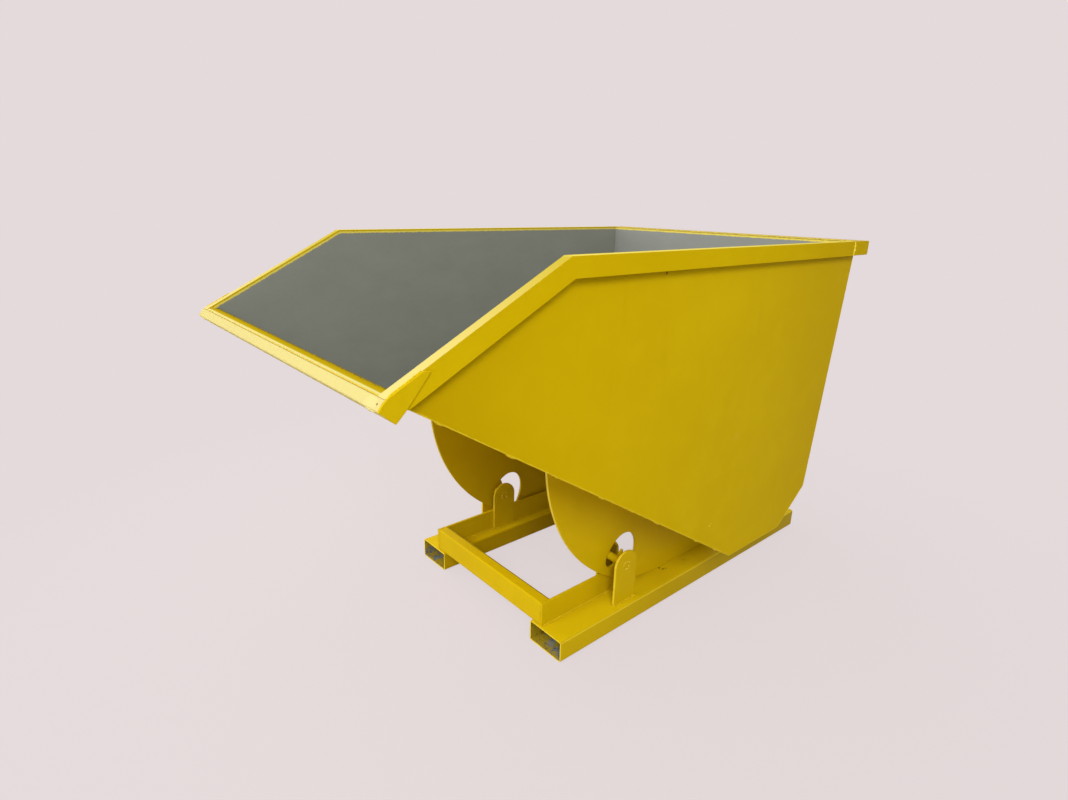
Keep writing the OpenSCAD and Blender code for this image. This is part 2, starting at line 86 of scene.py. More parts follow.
class Shader:
    """A short way to wire shader nodes."""

    def __init__(self, name):
        self.material = bpy.data.materials.new(name)
        self.material.use_nodes = True
        self.tree = self.material.node_tree
        self.tree.nodes.clear()
        self.out = self.node("ShaderNodeOutputMaterial")
        self.bsdf = self.node("ShaderNodeBsdfPrincipled")
        self.link(self.bsdf.outputs[0], self.out.inputs["Surface"])
        self.place = self.node("ShaderNodeTexCoord").outputs["Object"]

    def node(self, kind, **values):
        made = self.tree.nodes.new(kind)
        for key, value in values.items():
            setattr(made, key, value)
        return made

    def link(self, a, b):
        self.tree.links.new(a, b)

    def put(self, value, socket):
        if isinstance(value, bpy.types.NodeSocket):
            self.link(value, socket)
        else:
            socket.default_value = value

    def noise(self, scale, detail=3.0, rough=0.55, stretch=None, shift=0.0):
        where = self.place
        if stretch or shift:
            mapping = self.node("ShaderNodeMapping")
            self.link(where, mapping.inputs["Vector"])
            mapping.inputs["Scale"].default_value = stretch or (1, 1, 1)
            mapping.inputs["Location"].default_value = (shift, shift * 0.7, shift * 1.3)
            where = mapping.outputs[0]
        made = self.node("ShaderNodeTexNoise")
        self.link(where, made.inputs["Vector"])
        made.inputs["Scale"].default_value = scale
        made.inputs["Detail"].default_value = detail
        made.inputs["Roughness"].default_value = rough
        return made.outputs["Fac"]

    def ramp(self, value, low, high, to_low=0.0, to_high=1.0):
        made = self.node("ShaderNodeMapRange", clamp=True)
        self.link(value, made.inputs["Value"])
        for name, number in (("From Min", low), ("From Max", high), ("To Min", to_low), ("To Max", to_high)):
            made.inputs[name].default_value = number
        return made.outputs["Result"]

    def math(self, kind, a, b=0.0):
        made = self.node("ShaderNodeMath", operation=kind)
        self.put(a, made.inputs[0])
        self.put(b, made.inputs[1])
        return made.outputs[0]

    def mix(self, factor, a, b):
        made = self.node("ShaderNodeMix", data_type="RGBA")
        self.put(factor, made.inputs["Factor"])
        self.put(a, made.inputs[6])
        self.put(b, made.inputs[7])
        return made.outputs[2]

    def bump(self, height, distance, strength=1.0, under=None):
        made = self.node("ShaderNodeBump")
        self.link(height, made.inputs["Height"])
        made.inputs["Distance"].default_value = distance
        made.inputs["Strength"].default_value = strength
        if under is not None:
            self.link(under, made.inputs["Normal"])
        return made.outputs[0]

    def size(self, value, middle=0.0):
        """How far a value is from a middle, whatever the side."""
        if middle:
            value = self.math("SUBTRACT", value, middle)
        return self.math("ABSOLUTE", value)

    def product(self, a, *others):
        for b in others:
            a = self.math("MULTIPLY", a, b)
        return a

    def axes(self):
        """The x, y and z of the surface's point, in the CAD's frame."""
        made = self.node("ShaderNodeSeparateXYZ")
        self.link(self.place, made.inputs[0])
        return made.outputs

    def set(self, **values):
        for key, value in values.items():
            self.put(value, self.bsdf.inputs[key.replace("_", " ")])


def colour(r, g, b):
    """A linear colour from an sRGB one in 0 to 255."""
    line = [v / 255 for v in (r, g, b)]
    line = [v / 12.92 if v <= 0.04045 else ((v + 0.055) / 1.055) ** 2.4 for v in line]
    return (*line, 1.0)


# Paint, from the sprayed coat to the tones that wear, dirt, painted shade and painted highlights give it
YELLOW, DEEP, END_SHADE = colour(200, 170, 6), colour(195, 164, 4), colour(178, 146, 3)
LIGHT, PALE = colour(205, 176, 12), colour(232, 212, 88)
RUN, DUST = colour(180, 148, 3), colour(160, 134, 40)
WORN_AND_LIT_EDGE, RIM_SHADE = colour(222, 198, 48), colour(112, 84, 4)
PINHOLE, LIP_PINHOLE = colour(120, 96, 12), colour(120, 104, 60)
GLOSS = (1.0, 0.84, 0.2, 1.0)
# The grey coat inside the bucket
GREY, GREY_DARK, GREY_FINE = colour(135, 137, 126), colour(130, 132, 120), colour(140, 142, 134)
# The rear wall's coat is a lighter copy of the same grey: painted light on the wall that faces the front
REAR_GREY, REAR_GREY_DARK = colour(140, 142, 135), colour(135, 137, 130)
BACKGROUND = colour(228, 218, 219)


def paint_colour(s):
    """Sprayed yellow with slow drifts in tone, faint runs and specks of dust."""
    drift = s.ramp(s.noise(2.2, 3.0), 0.35, 0.68)
    base = s.mix(drift, DEEP, YELLOW)
    cloud = s.ramp(s.noise(9.0, 4.0, shift=3.1), 0.5, 0.75, 0.0, 0.3)
    base = s.mix(cloud, base, LIGHT)
    runs = s.ramp(s.noise(26.0, 2.0, stretch=(1, 1, 0.12), shift=5.0), 0.62, 0.8, 0.0, 0.12)
    base = s.mix(runs, base, RUN)
    dust = s.ramp(s.noise(420.0, 1.0, shift=1.7), 0.72, 0.78, 0.0, 0.35)
    return s.mix(dust, base, DUST)


def paint_surface(s):
    """Orange peel over the slow waves of welded sheet."""
    waves = s.bump(s.noise(4.5, 1.5, 0.4, shift=2.0), 0.0015, 0.35)
    peel = s.bump(s.noise(260.0, 2.0), 0.0002, 0.35, waves)
    rough = s.ramp(s.noise(14.0, 4.0, shift=8.0), 0.3, 0.7, 0.34, 0.46)
    s.set(Normal=peel, Roughness=rough)


def spot(s, centre, radius):
    """1 within the radius of a point, 0 outside it."""
    gap = s.node("ShaderNodeVectorMath", operation="DISTANCE")
    s.link(s.place, gap.inputs[0])
    gap.inputs[1].default_value = centre
    return s.ramp(gap.outputs["Value"], radius * 0.7, radius, 1.0, 0.0)


def inward(s, start, end):
    """Distance from a line in the side view, measured to the left of its direction."""
    _, y, z = s.axes()
    run = Vector((end[0] - start[0], end[1] - start[1])).normalized()
    across = s.math("MULTIPLY", s.math("SUBTRACT", y, start[0] - MIDDLE), -run.y)
    return s.math("ADD", across, s.math("MULTIPLY", s.math("SUBTRACT", z, start[1]), run.x))


def make_paint(name, finish=None, gloss=0.03):
    """Sprayed paint. The finish adds what one kind of piece has beyond the coat."""
    s = Shader(name)
    base = paint_colour(s)
    if finish:
        base = finish(s, base)
    s.set(Base_Color=base, Specular_IOR_Level=gloss, Specular_Tint=GLOSS)
    paint_surface(s)
    return s.material


def shade_towards_ends(s, base, front, rear):
    """Painted shade that makes the paint a shade deeper towards the bucket's two ends."""
    _, y, _ = s.axes()
    base = s.mix(s.ramp(y, -1.00, -0.55, front, 0.0), base, END_SHADE)
    return s.mix(s.ramp(y, 0.35, 0.90, 0.0, rear), base, END_SHADE)


def rim_side_shade(s, base):
    """Painted shade on the rims' sides, growing towards the rear alone."""
    return shade_towards_ends(s, base, 0.0, 0.5)


def panel_finish(s, base):
    """A paler line along the lower edges that is paint wear and a painted highlight, painted shade under the
    rim and towards the ends, a scratch and a pinhole.
    """
    # Painted shade towards the bucket's ends
    base = shade_towards_ends(s, base, 0.8, 0.5)
    lines = (LIP_ROOT, BEND), (BEND, BOTTOM_END), (BOTTOM_END, SLANT_END)
    depth = inward(s, *lines[0])
    for line in lines[1:]:
        depth = s.math("MINIMUM", depth, inward(s, *line))
    # A paler line along the lower edges: paint wear and a painted highlight
    worn_and_lit = s.math("ADD", depth, s.ramp(s.noise(45.0, 3.0), 0.3, 0.7, -0.0012, 0.0012))
    base = s.mix(s.ramp(worn_and_lit, 0.0022, 0.0034, 0.55, 0.0), base, WORN_AND_LIT_EDGE)
    _, _, z = s.axes()
    # Painted shade under the rim
    past_slope = s.math("ADD", inward(s, LIP, CORNER), RIM_DEPTH)
    under_rim = s.math("MAXIMUM", s.math("SUBTRACT", z, LOW_RIM), past_slope)
    base = s.mix(s.ramp(under_rim, -0.007, -0.002, 0.0, 0.6), base, RIM_SHADE)
    base = s.mix(spot(s, at(PANEL_OUT, 0.527, 0.413), 0.0035), base, PALE)
    base = s.mix(spot(s, at(PANEL_OUT, 0.535, 0.419), 0.0025), base, PALE)
    return s.mix(spot(s, at(PANEL_OUT, 0.171, 1.302), 0.005), base, PINHOLE)


def ledge_finish(s, base):
    """A painted highlight where the fold meets the lip, ochre behind it with painted shade deepening it
    towards the back, a ragged brown edge, and grey overspray at the back painted darker as shade.
    """
    ochre, ochre_shaded, bright = colour(180, 152, 14), colour(160, 132, 6), colour(214, 202, 124)
    brown, overspray = colour(108, 92, 30), colour(100, 101, 88)
    _, y, _ = s.axes()
    back = s.math("SUBTRACT", y, LIP[0] - MIDDLE)
    # Ochre, with painted shade deepening it towards the back
    base = s.mix(s.ramp(back, 0.012, 0.030), ochre, ochre_shaded)
    # Painted highlight where the fold meets the lip
    base = s.mix(s.ramp(back, 0.007, 0.010, 1.0, 0.0), base, bright)
    ragged = s.math("ADD", back, s.ramp(s.noise(150.0, 4.0, 0.75), 0.3, 0.7, -0.006, 0.006))
    base = s.mix(s.ramp(ragged, 0.0265, 0.0285), base, brown)
    # Grey overspray, painted darker as shade on the level ledge
    return s.mix(s.ramp(ragged, 0.0310, 0.0325), base, overspray)


def lip_finish(s, base):
    """Paint made pale on the nose as a painted highlight, with a welder's patch and a pinhole."""
    painted_highlight, rubbed = colour(203, 194, 136), colour(240, 230, 160)
    patch = s.ramp(s.noise(60.0, 2.0, shift=3.3), 0.3, 0.7, 0.85, 1.15)
    patch = s.product(patch, spot(s, at(0.597, -0.706, 1.092), 0.027), 0.12)
    # Painted highlight that makes the nose pale
    base = s.mix(patch, s.mix(0.75, base, painted_highlight), rubbed)
    return s.mix(spot(s, at(0.622, -0.704, 1.101), 0.0032), base, LIP_PINHOLE)


def rim_finish(s, base):
    """Paint made paler on the rim's upper side as a painted highlight, near the lip and where it is level."""
    by_lip, by_corner, on_top = colour(222, 212, 150), colour(198, 180, 70), colour(234, 220, 112)
    _, y, _ = s.axes()
    lip_y, corner_y = LIP[0] - MIDDLE, CORNER[0] - MIDDLE
    # Painted highlight on the upper side
    painted_highlight = s.mix(s.ramp(y, lip_y, corner_y), by_lip, by_corner)
    painted_highlight = s.mix(s.ramp(y, corner_y - 0.01, corner_y + 0.01), painted_highlight, on_top)
    return s.mix(0.6, base, painted_highlight)


def tube_finish(s, base):
    """Dirt where the rockers roll, a painted highlight on the top, painted shade on the sides, and a paler
    outer top edge that is paint wear and a painted highlight.
    """
    stained, dirt, speck = colour(150, 116, 8), colour(84, 66, 20), colour(58, 42, 8)
    lit_top, inner_side_shade, outer_side_shade = colour(222, 196, 16), colour(158, 128, 3), colour(160, 135, 6)
    rest_y, track_x = 0.70, 0.366
    x, y, z = s.axes()
    from_middle = s.size(x)
    near = s.product(s.ramp(s.size(y, rest_y - MIDDLE), 0.05, 0.17, 1.0, 0.0),
                     s.ramp(s.size(from_middle, track_x), 0.012, 0.034, 1.0, 0.0),
                     s.ramp(z, TUBE_TOP - 0.002, TUBE_TOP - 0.0005))
    specks = s.ramp(s.noise(85.0, 3.0, 0.6, shift=2.3), 0.60, 0.66)
    stain = s.ramp(s.noise(24.0, 3.0, shift=7.0), 0.45, 0.7, 0.0, 0.5)
    base = s.mix(s.product(near, stain), base, stained)
    base = s.mix(s.product(near, specks, 0.6), base, dirt)
    # Painted highlight on the top face
    base = s.mix(s.ramp(z, TUBE_TOP - 0.0010, TUBE_TOP - 0.0003, 0.0, 0.5), base, lit_top)
    for spot_x, spot_y, radius in ((0.3505, 0.617, 0.0050), (0.3653, 0.624, 0.0042), (0.3684, 0.636, 0.0034)):
        base = s.mix(spot(s, at(spot_x, spot_y, TUBE_TOP), radius), base, speck)
    # Painted shade on the inner side, and on the outer side towards the rear
    base = s.mix(s.ramp(from_middle, TUBE_NEAR + 0.0002, TUBE_NEAR + 0.0025, 0.6, 0.0), base, inner_side_shade)
    outside = s.ramp(from_middle, TUBE_FAR - 0.0008, TUBE_FAR - 0.0002)
    base = s.mix(s.product(outside, s.ramp(y, -0.2, 0.8, 0.0, 0.75)), base, outer_side_shade)
    # Paler outer top edge: paint wear and a painted highlight
    worn_and_lit = s.product(s.ramp(from_middle, TUBE_FAR - 0.0030, TUBE_FAR - 0.0010),
                     s.ramp(z, TUBE_TOP - 0.0065, TUBE_TOP - 0.0035), 0.6)
    return s.mix(worn_and_lit, base, PALE)


def pin_shade_finish(s, base):
    """Painted shade round the guide pin, on the bracket's face towards the rocker."""
    # Painted shade round the pin
    pin_shade = colour(104, 78, 10)
    face_x = BRACKETS["inner"] + PLATE
    x, y, z = s.axes()
    away_y = s.math("SUBTRACT", y, PIN[0] - MIDDLE)
    away_z = s.math("SUBTRACT", z, PIN[1])
    away = s.math("SQRT", s.math("ADD", s.product(away_y, away_y), s.product(away_z, away_z)))
    ragged = s.math("ADD", away, s.ramp(s.noise(40.0, 4.0, 0.6), 0.3, 0.7, -0.010, 0.010))
    on_face = s.ramp(s.size(x), face_x - 0.0020, face_x - 0.0008)
    return s.mix(s.product(s.ramp(ragged, 0.040, 0.060, 0.9, 0.0), on_face), base, pin_shade)


def plug_finish(s, base):
    """Yellow outside, grey inside the bucket."""
    x, _, _ = s.axes()
    return s.mix(s.ramp(s.size(x), PANEL_X + 0.0005, PANEL_X + 0.0015, 1.0, 0.0), base, GREY)


def bar_finish(s, base):
    """Painted shadow along the crossbar's folded rear edge, and a painted highlight on the edge behind it."""
    shadow = colour(96, 72, 4)
    line_y = 0.0440 - MIDDLE
    _, y, z = s.axes()
    line = s.product(s.ramp(s.size(y, line_y), 0.0012, 0.0022, 0.8, 0.0),
                     s.ramp(z, RAIL_TOP - 0.002, RAIL_TOP - 0.001))
    edge = s.product(s.ramp(y, line_y + 0.0022, line_y + 0.0032, 0.0, 0.8),
                     s.ramp(z, RAIL_TOP - 0.004, RAIL_TOP - 0.002))
    return s.mix(line, s.mix(edge, base, PALE), shadow)


def make_bead_paint(name, low, high, scale=150.0, start=0.35, end=0.7):
    """Paint over a weld: lighter crests on the ripples are painted highlights, and the ripples hold a little
    grime.
    """
    s = Shader(name)
    crest = s.ramp(s.noise(scale, 2.0), start, end)
    s.set(Base_Color=s.mix(crest, low, high),
          Roughness=0.5, Specular_IOR_Level=0.1, Specular_Tint=GLOSS,
          Normal=s.bump(s.noise(330.0, 2.0), 0.0008, 0.6))
    return s.material


def make_lining(name, dark, light):
    """The grey inside coat, with the yellow left bare along the rim."""
    s = Shader(name)
    _, _, z = s.axes()
    below_rim = s.math("MAXIMUM", s.math("SUBTRACT", z, RIM_Z), inward(s, LIP, CORNER))
    edge = s.math("ADD", below_rim, s.ramp(s.noise(110.0, 3.0), 0.3, 0.7, -0.0015, 0.0015))
    bare = s.ramp(edge, -0.0125, -0.0110)
    joint = s.ramp(s.size(edge, -0.0035), 0.0010, 0.0022, 0.8, 0.0)
    strip = s.mix(joint, s.mix(0.8, paint_colour(s), PALE), colour(120, 96, 10))
    scuffs = s.ramp(s.noise(5.0, 5.0, 0.65, stretch=(1, 1, 2.2)), 0.35, 0.7)
    fine = s.ramp(s.noise(90.0, 3.0, shift=4.0), 0.55, 0.75, 0.0, 0.2)
    grey = s.mix(fine, s.mix(scuffs, dark, light), GREY_FINE)
    s.set(Base_Color=s.mix(bare, grey, strip), Specular_IOR_Level=0.35,
          Roughness=s.math("SUBTRACT", 0.8, s.product(bare, 0.42)),
          Normal=s.bump(s.noise(240.0, 2.0), 0.0005, 0.3))
    return s.material


def make_raw_steel():
    """Mill steel inside a tube. Yellow overspray thins out down its walls, away from
    its ends and towards its outer side."""
    dark, light, brown = colour(88, 96, 98), colour(128, 136, 138), colour(98, 78, 52)
    overspray, pit = colour(160, 136, 18), colour(46, 42, 26)
    front, rear, sprayed, reach = -MIDDLE, TUBE_LENGTH - MIDDLE, 0.02, 0.34
    s = Shader("tube_inside")
    x, y, z = s.axes()
    steel = s.mix(s.ramp(s.noise(22.0, 5.0, 0.65), 0.4, 0.62), dark, light)
    rust = s.ramp(s.noise(16.0, 5.0, 0.7, shift=6.0), 0.58, 0.72, 0.0, 0.5)
    steel = s.mix(rust, steel, brown)
    near_end = s.math("MAXIMUM", s.ramp(y, front + sprayed, front + reach, 1.0, 0.0),
                      s.ramp(y, rear - reach, rear - sprayed, 0.0, 1.0))
    spray = s.math("ADD", s.noise(42.0, 7.0, 0.76, shift=9.0), s.product(near_end, 0.15))
    spray = s.math("ADD", spray, s.ramp(s.size(x), 0.30, 0.41, 0.07, -0.06))
    spray = s.ramp(s.math("ADD", spray, s.ramp(z, 0.008, 0.05, 0.0, 0.10)), 0.605, 0.635)
    pits = s.ramp(s.noise(130.0, 3.0, 0.6, shift=4.4), 0.58, 0.63, 0.0, 0.75)
    steel = s.mix(pits, s.mix(spray, steel, overspray), pit)
    s.set(Base_Color=steel,
          Roughness=s.ramp(spray, 0.0, 1.0, 0.62, 0.5),
          Normal=s.bump(s.noise(180.0, 4.0), 0.001, 0.5))
    return s.material


def make_bare_steel():
    """Turned bar with fine marks round it and a thin film of oxide."""
    s = Shader("turned_steel")
    film = s.ramp(s.noise(60.0, 4.0), 0.4, 0.65)
    marks = s.noise(900.0, 1.0, stretch=(1.0, 0.05, 0.05))
    s.set(Base_Color=s.mix(film, colour(122, 120, 114), colour(160, 159, 154)),
          Metallic=0.85, Roughness=s.ramp(film, 0.0, 1.0, 0.5, 0.34),
          Normal=s.bump(marks, 0.0004, 0.4))
    return s.material


def make_cut_edge():
    """A torch-cut edge under paint: fine upright drag lines, in a paler tone that is thin paint and a painted
    highlight.
    """
    s = Shader("cut_edge")
    drag = s.noise(520.0, 2.0, stretch=(0.05, 1, 1))
    s.set(Base_Color=s.mix(s.ramp(drag, 0.3, 0.7), colour(206, 176, 14), colour(228, 202, 50)),
          Roughness=0.36, Specular_IOR_Level=0.2, Normal=s.bump(drag, 0.0006, 0.5))
    return s.material


PAINT = make_paint("yellow_paint")
PANEL = make_paint("panel_paint", panel_finish, 0.01)
LIP_PAINT = make_paint("lip_paint", lip_finish, 0.0)
RIM = make_paint("rim_paint", rim_side_shade, 0.005)
RIM_TOP = make_paint("rim_top_paint", rim_finish, 0.0)
PIN_SHADED = make_paint("pin_shaded_paint", pin_shade_finish)
LEDGE = make_paint("ledge_paint", ledge_finish, 0.0)
TUBE = make_paint("tube_paint", tube_finish)
BAR = make_paint("crossbar_paint", bar_finish)
PLUG = make_paint("plug_paint", plug_finish)
# Weld paints: their lighter crests are painted highlights, and the bright and pin ones are paler still as
# painted glints
BEAD = make_bead_paint("weld_paint", colour(190, 158, 6), colour(218, 190, 30))
BRIGHT_BEAD = make_bead_paint("bright_weld_paint", colour(214, 186, 24), colour(246, 230, 110))
PIN_BEAD = make_bead_paint("pin_weld_paint", colour(190, 158, 6), colour(240, 220, 90), 110.0, 0.5, 0.62)
LINING = make_lining("grey_lining", GREY_DARK, GREY)
# The lighter copy of the grey coat, painted light on the rear wall
REAR_LINING = make_lining("grey_lining_rear", REAR_GREY_DARK, REAR_GREY)
TUBE_INSIDE = make_raw_steel()
STEEL = make_bare_steel()
CUT = make_cut_edge()


# Plates, tubes and folded sections: the CAD solids with real edge radii

def start_from(node):
    """The node's own faces, joined and without its triangulation."""
    bm = bmesh.new()
    source = NODES[node]
    bm.from_mesh(source.data)
    bm.transform(source.matrix_world)
    bmesh.ops.remove_doubles(bm, verts=bm.verts, dist=1e-6)
    bmesh.ops.dissolve_limit(bm, angle_limit=math.radians(1.0), verts=bm.verts, edges=bm.edges)
    return bm


def sharp(bm, least=28.0):
    return [e for e in bm.edges if len(e.link_faces) == 2 and e.calc_face_angle(0) > math.radians(least)]


def round_off(bm, edges, width, segments):
    if edges:
        bmesh.ops.bevel(bm, geom=edges, offset=width, offset_type="OFFSET", segments=segments,
                        profile=0.5, affect="EDGES", clamp_overlap=True)


def along(edge, axis):
    return abs((edge.verts[0].co - edge.verts[1].co).normalized()[axis]) > 0.999


def flatten_broad_faces(mesh, least=50.0):
    """Corner normals that keep broad faces flat and blend only across the rounded edges."""
    limit = math.cos(math.radians(least))
    around = [[] for _ in mesh.vertices]
    for face in mesh.polygons:
        for v in face.vertices:
            around[v].append((face.normal.copy(), face.area))
    normals = []
    for face in mesh.polygons:
        for v in face.vertices:
            total = Vector()
            for normal, area in around[v]:
                if normal.dot(face.normal) > limit:
                    total += normal * area
            normals.append(total.normalized())
    mesh.normals_split_custom_set(normals)


def finish_piece(name, bm, body, materials, replaced=(), pick=None):
    """Makes a piece of the model from a mesh. The pick names each face's material."""
    bmesh.ops.recalc_face_normals(bm, faces=bm.faces)
    mesh = bpy.data.meshes.new(name)
    if pick:
        for face in bm.faces:
            face.material_index = pick(face.calc_center_median(), face.normal)
    for face in bm.faces:
        face.smooth = True
    bm.to_mesh(mesh)
    bm.free()
    for material in materials:
        mesh.materials.append(material)
    flatten_broad_faces(mesh)
    piece = bpy.data.objects.new(name, mesh)
    bpy.context.scene.collection.objects.link(piece)
    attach(piece, body)
    if replaced:
        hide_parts(*replaced)
    return piece


def dress(node, body, folds=None, fold=0.006, edge=0.0012, materials=(PAINT,), pick=None):
    """Replaces a CAD plate by the same plate with rounded edges."""
    bm = start_from(node)
    if folds:
        round_off(bm, [e for e in sharp(bm) if folds(e)], fold, 4)
    round_off(bm, sharp(bm, 40.0), edge, 2)
    return finish_piece(node + "_skin", bm, body, materials, (node,), pick)


# The edges where a plate or a tube was folded, which are rounder than the cut ones

def across(e):
    return along(e, 0)


def tube_fold(e):
    """The long outer edges of a tube, which lie on the corners of its section."""
    c = e.verts[0].co
    return (along(e, 1) and min(abs(abs(c.x) - TUBE_NEAR), abs(abs(c.x) - TUBE_FAR)) < ON_EDGE
            and min(abs(c.z), abs(c.z - TUBE_TOP)) < ON_EDGE)


def rim_fold(e):
    """The long outer edges along the top of a side rim."""
    a, b = (v.co for v in e.verts)
    return (all(abs(abs(c.x) - RIM_X) < ON_EDGE for c in (a, b))
            and abs(a.y - b.y) > 0.3 and max(a.z, b.z) > RIM_Z - 0.003)


def beam_fold(e):
    """The outer edges of the box beam's rear side."""
    return along(e, 0) and e.verts[0].co.y > BEAM_END - MIDDLE - 0.002


# Which of a piece's materials a face takes, by its centre and its normal

def tube_faces(centre, normal):
    """The cut ends, the inside and the painted outside."""
    if abs(normal.y) > 0.9:
        return 2
    in_width = TUBE_NEAR + TUBE_WALL - IN_FACE < abs(centre.x) < TUBE_FAR - TUBE_WALL + IN_FACE
    in_height = TUBE_WALL - IN_FACE < centre.z < TUBE_TOP - TUBE_WALL + IN_FACE
    return 1 if in_width and in_height else 0


def plate_edge(centre, normal):
    """The cut edges of an upright plate."""
    return 1 if abs(normal.x) < 0.6 else 0


def rolling_edge(centre, normal):
    """The rocker's cut edges, apart from those of the slot."""
    slot_middle, slot_reach = (0.39, 0.25), 0.16
    in_slot = (centre - at(centre.x, *slot_middle)).length < slot_reach
    return 1 if plate_edge(centre, normal) and not in_slot else 0


def flank(centre, normal):
    """The inner face of a side panel, with the nearest part of its rounded edges."""
    return 1 if abs(centre.x) < PANEL_X + 0.0006 and normal.x * centre.x < 0 else 0


def facing_up(centre, normal):
    return 1 if normal.z > 0.7 else 0


def beam_inside(centre, normal):
    """The box beam's face towards the bucket, between the side panels."""
    inner_wall = centre.y < BEAM_Y - MIDDLE + 0.002
    return 1 if normal.y < -0.9 and abs(centre.x) < PANEL_X and inner_wall else 0


def facing(y, z):
    """The faces that look into the bucket, by their normal's y and z."""
    direction = Vector((0, y, z))

    def test(centre, normal):
        return 1 if normal.dot(direction) > 0.8 else 0
    return test


for side in SIDES:
    dress(f"fork_tube_{side}", "base", tube_fold, 0.009,
          materials=(TUBE, TUBE_INSIDE, CUT), pick=tube_faces)
    dress(f"guide_rail_{side}", "base", edge=0.0014)
    dress(f"inner_bracket_{side}", "base", edge=0.0014, materials=(PIN_SHADED, CUT), pick=plate_edge)
    dress(f"outer_bracket_{side}", "base", edge=0.0018, materials=(PAINT, CUT), pick=plate_edge)

dress("front_crossbar", "base", across, materials=(BAR,))
dress("rear_crossbar", "base", across)

for side in SIDES:
    dress(f"side_panel_{side}", "bucket", edge=0.0007, materials=(PANEL, LINING), pick=flank)
    dress(f"side_rim_{side}", "bucket", rim_fold, 0.005, edge=0.0009,
          materials=(RIM, RIM_TOP), pick=facing_up)
    dress(f"lip_gusset_{side}", "bucket", edge=0.0013)
    dress(f"rocker_{side}", "bucket", materials=(PAINT, CUT), pick=rolling_edge)

dress("floor_plate", "bucket", edge=0.0007, materials=(PAINT, LINING), pick=facing(*FLOOR_NORMAL))
dress("bottom_plate", "bucket", edge=0.001, materials=(PAINT, LINING), pick=facing(0, 1))
dress("rear_lower_plate", "bucket", edge=0.001, materials=(PAINT, REAR_LINING),
      pick=facing(*SLANT_NORMAL))
dress("rear_panel", "bucket", edge=0.001, materials=(PAINT, REAR_LINING), pick=facing(*REAR_NORMAL))
dress("rear_rim", "bucket", beam_fold, materials=(RIM, REAR_LINING), pick=beam_inside)
dress("lip_section", "bucket", across, 0.004, materials=(LIP_PAINT,))
dress("lip_ledge", "bucket", edge=0.001, materials=(LEDGE,))
dress("rocker_tie", "bucket")
dress("latch_ears", "base", edge=0.001)
dress("striker_lugs", "bucket", edge=0.001)
dress("latch_arm", "latch", edge=0.001)

# Round bars keep their CAD shape and take a material
BARS = {
    "guide_pin_left": PAINT, "guide_pin_right": PAINT, "latch_stop": PAINT,
    "centre_plug_left": PLUG, "centre_plug_right": PLUG,
    "latch_pivot_bolt": STEEL, "striker_bar": STEEL, "latch_handle": STEEL,
}
for node, material in BARS.items():
    NODES[node].data.materials.clear()
    NODES[node].data.materials.append(material)


# Weld beads

def bead(name, points, size, body, closed=False, ripple=0.0048, seed=1, material=BEAD):
    """A rippled bead along a line of points, half sunk into the corner it fills."""
    around, swing, wander, pitch, shake = 9, 0.13, 0.16, 55, 0.05
    rng = random.Random(seed)
    line = [Vector(p) for p in points]
    if closed:
        line.append(line[0])
    spots, steps = [], []
    for a, b in zip(line, line[1:]):
        count = max(2, round((b - a).length / (ripple * 0.5)))
        for i in range(count):
            spots.append(a.lerp(b, i / count))
            steps.append((b - a).normalized())
    if not closed:
        spots.append(line[-1])
        steps.append(steps[-1])
    bm = bmesh.new()
    rings = []
    for i, (middle, step) in enumerate(zip(spots, steps)):
        side = step.orthogonal().normalized()
        up = step.cross(side)
        drift = noise.noise(middle * pitch + Vector((seed, 0, 0)))
        swell = 1.0 + swing * (1 if i % 2 else -1) + wander * drift
        taper = 1.0 if closed else min(1.0, 0.35 + 0.3 * min(i, len(spots) - 1 - i))
        radius = size * swell * taper
        jitter = Vector([rng.uniform(-1, 1) * size * shake for _ in range(3)])
        ring = []
        for k in range(around):
            turn = k * math.tau / around
            out = math.cos(turn) * side + math.sin(turn) * up
            ring.append(bm.verts.new(middle + jitter + radius * out))
        rings.append(ring)
    pairs = list(zip(rings, rings[1:]))
    if closed:
        pairs.append((rings[-1], rings[0]))
    for a, b in pairs:
        for k in range(around):
            n = (k + 1) % around
            bm.faces.new((a[k], a[n], b[n], b[k]))
    if not closed:
        bm.faces.new(list(reversed(rings[0])))
        bm.faces.new(rings[-1])
    return finish_piece(name, bm, body, (material,))


def weld(name, side, points, size, body, **more):
    """A bead on one side, along points that are given for the left one."""
    bead(f"{name}_{side}", [at(SIDES[side] * x, y, z) for x, y, z in points], size, body, **more)


def pin_ring(x, count=28):
    """Points round the guide pin, where it meets a bracket's face."""
    turns = [k * math.tau / count for k in range(count)]
    return [(x, PIN[0] + PIN_RING * math.cos(t), PIN[1] + PIN_RING * math.sin(t)) for t in turns]


# Beads on thin plates sit a little proud, so that none shows on the other side
FOOT_Z = TUBE_TOP + 0.0012
BELOW = 0.0032
# The rails' long welds: x, y of both ends, seed
RAIL_WELDS = (("rail_weld_out", RAIL_X + RAIL_T, 0.010, 1.463, 11),
              ("rail_weld_in", RAIL_X, 0.055, 1.418, 12))
# The crossbars' upright welds: y in front and behind, gap below the rail's top, size, seed
BAR_WELDS = (("bar_weld", 0.005, 1.465, 0.006, 0.0030, 16),
             ("bar_weld_in", 0.050, 1.420, 0.002, 0.0036, 17))
# The bead along the panel's rear edge, up to the rim, and the one at the lip's lower corner
SEAM_X, SEAM_TOP = PANEL_X + 0.0008, (1.3078, LOW_RIM - 0.002)
LIP_CORNER, LIP_WELD_FROM, LIP_WELD_TO = (-0.7062, 1.0862), 0.570, 0.622
# Short stitches where the floor's edge meets the panel's: start and length along the slope
STITCHES = ((0.09, 0.015), (0.23, 0.022), (0.345, 0.011), (0.47, 0.018),
            (0.575, 0.009), (0.66, 0.021), (0.83, 0.014), (0.92, 0.017))
SLOPE = Vector((BEND[0] - LIP_ROOT[0], BEND[1] - LIP_ROOT[1]))

